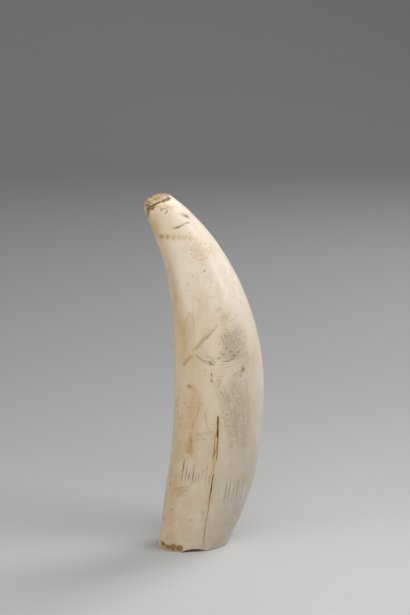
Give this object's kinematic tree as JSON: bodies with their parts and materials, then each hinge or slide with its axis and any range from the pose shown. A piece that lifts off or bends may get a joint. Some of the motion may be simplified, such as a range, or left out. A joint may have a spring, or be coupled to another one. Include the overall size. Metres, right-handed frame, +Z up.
{
  "type": "scrimshaw whale tooth",
  "caption": "Curved sperm whale tooth standing on its sawn, hollow root, with a worn tip, a drying crack and faint ink-filled engraving on the front.",
  "frame": {"origin": "on the ground, under the middle of the tooth's bounding box", "axes": "+Z up through the standing tooth, +X through its curve towards the belly, -X the side that the tip leans to, +Y across its narrow way towards the back"},
  "size_m": [0.0572, 0.0336, 0.163],
  "materials": {
    "ivory": "aged tooth ivory, softly polished, with ink-filled engraving, tan staining and a brown broken edge"
  },
  "bodies": {
    "root": {"scrimshaw_tooth": "ivory"}
  },
  "joints": []
}
